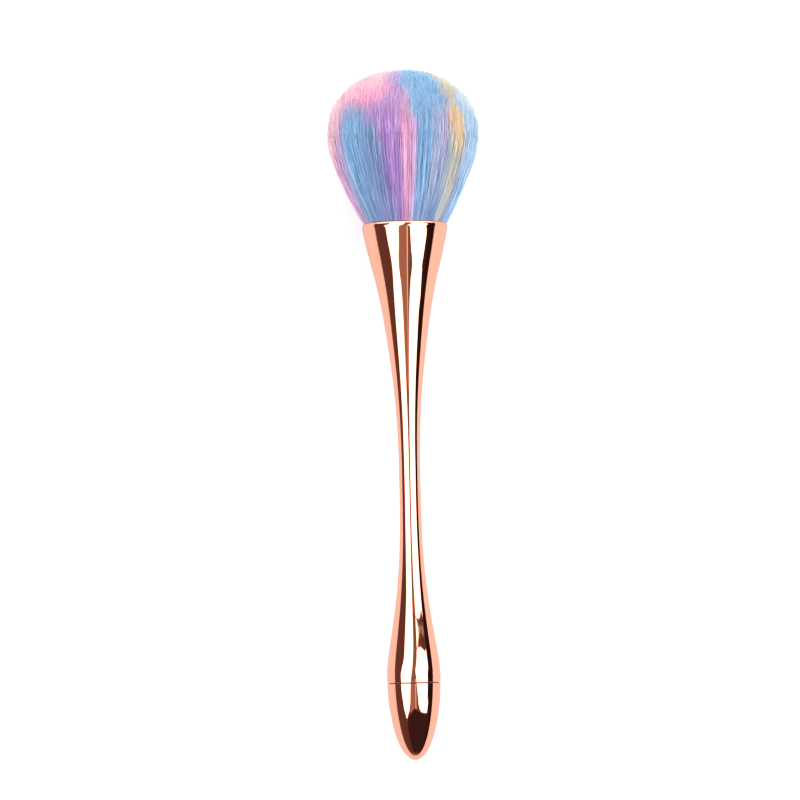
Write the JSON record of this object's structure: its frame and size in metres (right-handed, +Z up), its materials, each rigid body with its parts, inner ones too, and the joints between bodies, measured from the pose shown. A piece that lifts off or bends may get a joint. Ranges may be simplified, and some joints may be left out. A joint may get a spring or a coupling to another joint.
{
  "type": "nail dust brush",
  "caption": "Small powder brush for nails: slim-waisted mirror-plated rose-gold handle with a bulb-ended tail and a full, round tuft of soft rainbow-dyed hair.",
  "frame": {"origin": "centre of the brush's outline on the table it lies on", "axes": "+Y along the brush towards the tuft, +Z up from the table, +X to the right seen from above with the tuft away"},
  "size_m": [0.0352, 0.1648, 0.0347],
  "materials": {
    "rose_gold_plating": "moulded ABS with a rose-gold mirror plating",
    "slug_steel": "turned, zinc plated",
    "clear_glue": "cured clear resin",
    "root_resin": "fibre ends set in resin",
    "binding_thread": "twisted polyester thread",
    "hair_pink": "dyed nylon fibre, soft satin",
    "hair_blue": "dyed nylon fibre, soft satin",
    "hair_violet": "dyed nylon fibre, soft satin",
    "hair_lilac": "dyed nylon fibre, soft satin",
    "hair_yellow": "dyed nylon fibre, soft satin"
  },
  "bodies": {
    "handle": {"handle_shell": "rose_gold_plating", "tail_cap": "rose_gold_plating", "cap_glue_ring": "clear_glue", "ballast_slug": "slug_steel", "slug_glue": "clear_glue", "socket_glue": "clear_glue", "potted_root": "root_resin", "root_binding": "binding_thread"},
    "tuft": {"lock_pink_left": "hair_pink", "lock_blue_front_left": "hair_blue", "lock_violet_front": "hair_violet", "lock_pink_front": "hair_pink", "lock_blue_front_right": "hair_blue", "lock_lilac_right": "hair_lilac", "lock_yellow_right": "hair_yellow", "lock_blue_right": "hair_blue", "lock_pink_rear_right": "hair_pink", "lock_purple_rear": "hair_violet", "lock_blue_rear_left": "hair_blue", "core_pink_left": "hair_pink", "core_purple": "hair_violet", "core_blue": "hair_blue", "core_rear": "hair_lilac"}
  },
  "joints": [
    {"name": "tuft_flex", "type": "hinge", "parent": "handle", "child": "tuft", "pos_m": [0, 0.05167, 0.0158], "axis": [0, -0.0805, 0.9968], "range_deg": [-25, 25], "stiffness_Nm_per_rad": 0.05, "deforming": ["lock_pink_left", "lock_blue_front_left", "lock_violet_front", "lock_pink_front", "lock_blue_front_right", "lock_lilac_right", "lock_yellow_right", "lock_blue_right", "lock_pink_rear_right", "lock_purple_rear", "lock_blue_rear_left", "core_pink_left", "core_purple", "core_blue", "core_rear"]}
  ]
}
